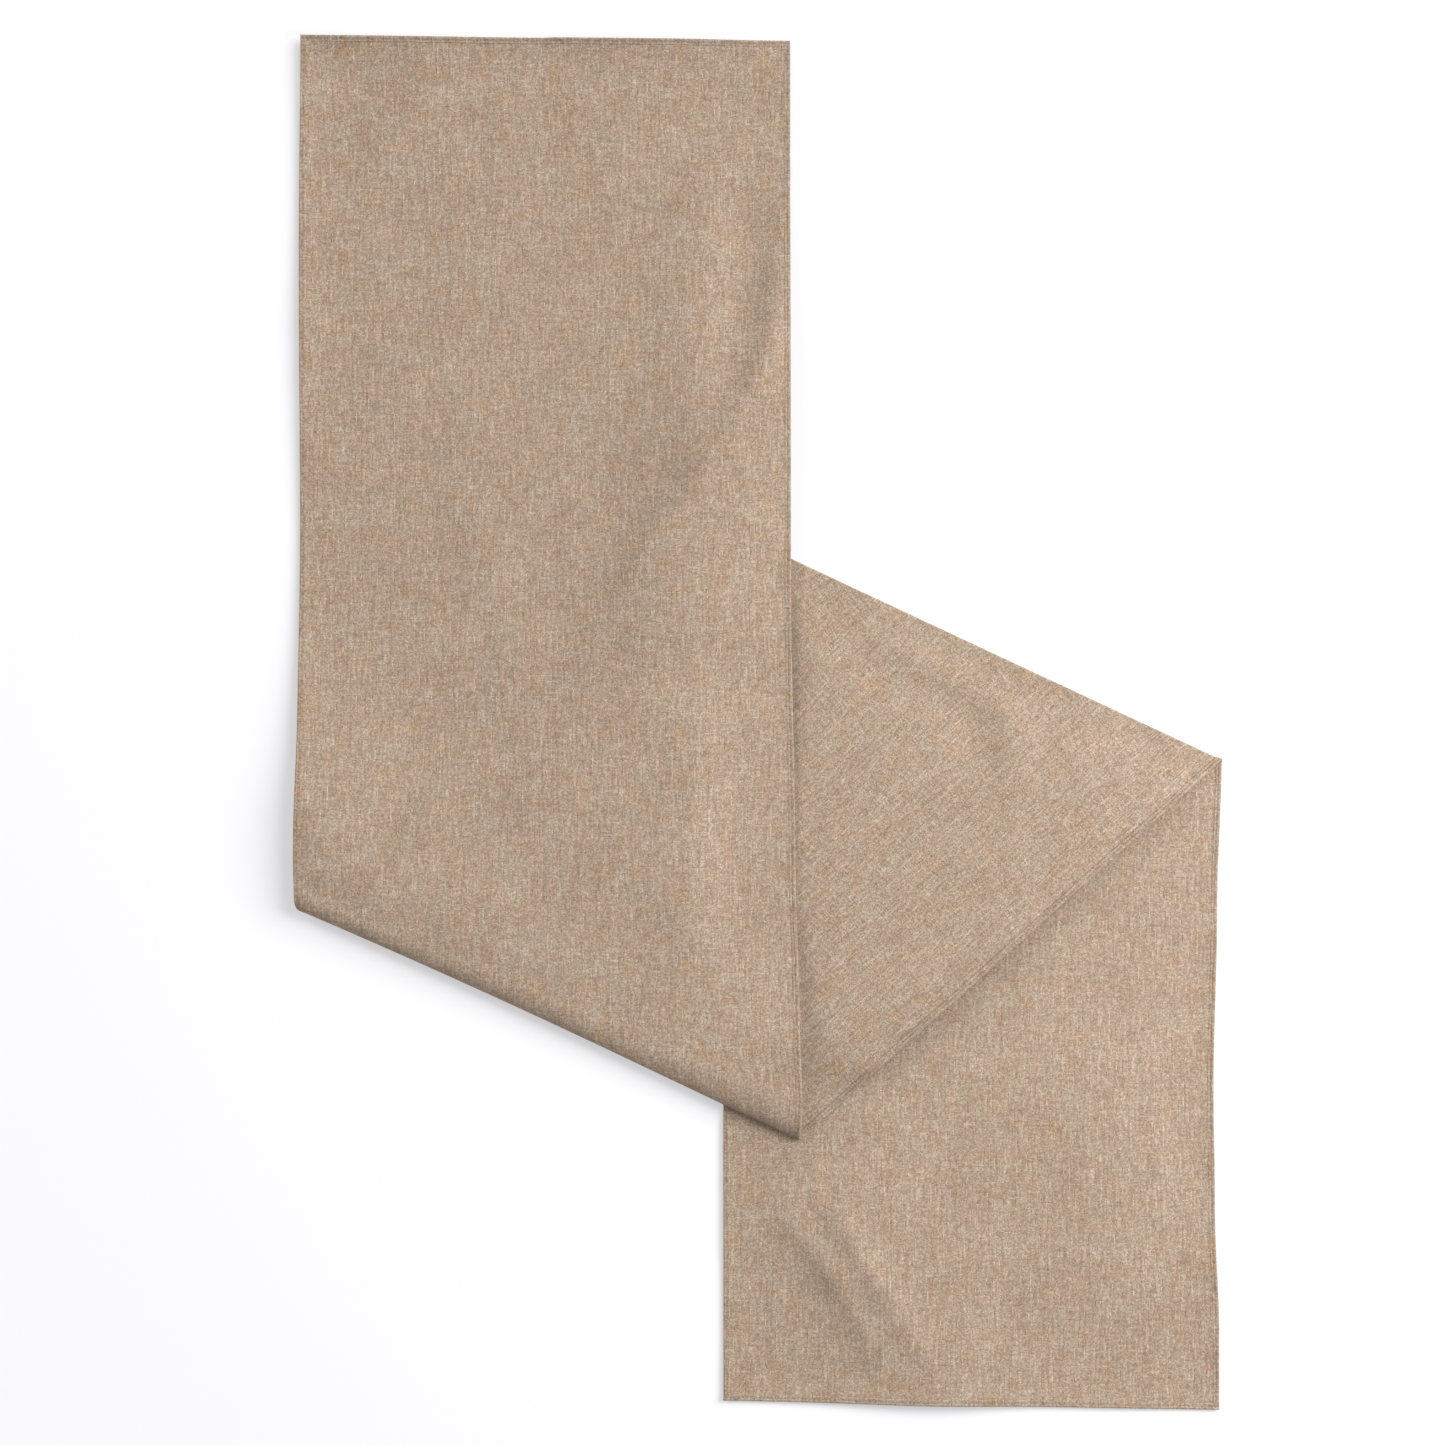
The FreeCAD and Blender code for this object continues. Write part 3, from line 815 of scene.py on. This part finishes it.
def carried(name, kind, piece_name, edge, ring_of, spacing):
    """Carries a section along a panel's left, right or end edge and builds the piece."""
    if edge == "end":
        at_top = name == "top_panel"
        along_hem = np.arange(-WIDTH / 2 + 0.05, WIDTH / 2, spacing)
        inset, lift = ring_of(along_hem)
        side = along_hem[:, None] + 0 * inset
        run = inset if at_top else CLOTH_LENGTH - inset
        forward = at_top
    else:
        sign = EDGES[edge]
        rows = rows_for(name, spacing)
        start, end = ends_of(name, np.array([sign * WIDTH / 2]))
        along_hem = (start + (end - start) * rows).ravel()
        inset, lift = ring_of(along_hem)
        side = sign * (WIDTH / 2 - inset)
        start, end = ends_of(name, side)
        run = start + (end - start) * rows[:, None]
        forward = sign < 0
    rings, _ = lifted(name, run, side, lift)
    weave = np.stack([side, run], -1)
    if not forward:
        rings, weave = rings[:, ::-1], weave[:, ::-1]
    build(piece_name, kind, rings, None, weave)


# %% Hems and threads
for name in PANELS:
    edges = ["left", "right"] + (["end"] if name in ("top_panel", "bottom_panel") else [])
    for edge in edges:
        hem = f"{name}_{edge}_hem"
        carried(name, "hem", hem, edge, hem_ring, STITCH / 4)
        for thread, on_face in (("needle", True), ("bobbin", False)):
            ring_of = partial(thread_ring, on_face=on_face)
            carried(name, "thread", f"{hem}_{thread}_thread", edge, ring_of, STITCH / 8)
print("pieces", len(made_pieces), "faces", sum(len(p.data.polygons) for p in made_pieces.values()))

# %% [markdown]
# ## How the pieces are grouped
# The model's two joints are the creases, about which the top and bottom panels would turn.
# Here each panel's pieces are hung under an empty of their own, and the top and bottom panels'
# pieces get meshes of their own. The rolls' pieces are fixed where they lie, and nothing here
# turns, bends or flattens a piece.

# %% Grouping the pieces
BENDS = {
    "first_fold": ("top_panel", first_crease, UNDER_LEVEL + 1.4, first_crease[2] + 1),
    "second_fold": ("bottom_panel", second_crease, UNDER_LEVEL - 0.5, ON_TABLE + 0.5),
}
FLATTENS = {  # the joint that opens a panel, the level it flattens to, and the slope it keeps
    "top_panel": ("first_fold", SEAM_LEVEL, 0.1),
    "bottom_panel": ("second_fold", ON_TABLE, 0.2),
}
for node_name, piece in made_pieces.items():
    panel = next(p for p in PANELS if node_name.startswith(p))
    if panel in BENDS:
        moving, crease, still_level, moving_level = BENDS[panel]
        start = [value * MM for value in (*crease[:2], still_level)]
        end = [value * MM for value in (*crease[:2], moving_level)]
        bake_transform(piece)
        continue
    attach(piece, panel)
    if panel in FLATTENS:
        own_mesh(piece)
print("rolls that bend", sorted(BENDS), "panels that flatten", sorted(FLATTENS))

# %% [markdown]
# Runners of this shape are sold as 15 by 72 inches: 381 x 1829 mm of finished cloth. Each
# piece of cloth is its share of the strip, measured along its middle. The cell below works out
# where each piece starts and ends there, and keeps none of it.

# %% The cloth's flat size
for name in PANELS:
    start, end = ends_of(name, np.array([0.0]))

# %% [markdown]
# ## Table, light and camera
# A white table top in a white room. The main light is a large softbox, high up and far to the
# right. A weaker one on the left and a small one close by on the right fill in. The camera
# looks straight down.

# %% Table top
bpy.ops.mesh.primitive_plane_add(size=30, location=(0, 0, 0))
table_top = bpy.context.object
table_top.name = "Table_Top"
# Matt white paint. It glows a little, so that a shadow on it stays pale.
white = bpy.data.materials.new("White painted table top")
white.use_nodes = True
paint = {
    "Base Color": linear("#C5C5C7"),
    "Emission Color": linear("#FCFCFF"),
    "Emission Strength": 0.395,
    "Roughness": 0.8,
    "Specular IOR Level": 0.1,
}
for socket, value in paint.items():
    white.node_tree.nodes["Principled BSDF"].inputs[socket].default_value = value
table_top.data.materials.append(white)
print("table top", white.name)

# %% Light
scene = bpy.context.scene
room = bpy.data.worlds.new("White room")
room.use_nodes = True
backdrop = room.node_tree.nodes["Background"]
backdrop.inputs["Color"].default_value = (1, 1, 1, 1)
backdrop.inputs["Strength"].default_value = 0.345
scene.world = room


def soft_light(name, place_m, size_m, watts, aim=(0, 0, 0)):
    """A square area light that points at aim and isn't seen itself."""
    lamp = bpy.data.lights.new(name, "AREA")
    lamp.shape, lamp.size, lamp.energy = "SQUARE", size_m, watts
    lamp_object = bpy.data.objects.new(name, lamp)
    bpy.context.scene.collection.objects.link(lamp_object)
    lamp_object.location = place_m
    towards = np.array(aim) - np.array(place_m)
    lamp_object.rotation_euler = Vector(towards.tolist()).to_track_quat("-Z", "Y").to_euler()
    lamp_object.visible_camera = False


soft_light("Softbox", (7.3, 5.2, 6.9), 7.4, 1230)
soft_light("Softbox from the left", (-6.6, 4.6, 5.0), 5.0, 290)
soft_light("Fill from the right", (0.98, 0.0, 0.62), 0.6, 5.6, aim=(0.15, -0.1, 0))
scene.view_settings.view_transform = "Standard"
scene.view_settings.look = "None"
scene.view_settings.exposure = 0
scene.view_settings.gamma = 1
print("lights", [lamp.name for lamp in bpy.data.lights])

# %% Camera
VIEW_WIDTH = 1.1236  # metres of table top across the view
CAMERA_HEIGHT = 2.1
camera_data = bpy.data.cameras.new("Overhead camera")
camera_data.sensor_width = 36
camera_data.lens = 36 * CAMERA_HEIGHT / VIEW_WIDTH
camera = bpy.data.objects.new("Overhead_Camera", camera_data)
bpy.context.scene.collection.objects.link(camera)
camera.location = (-0.0276, 0, CAMERA_HEIGHT)
scene.camera = camera
print("camera", CAMERA_HEIGHT, "m above the table")
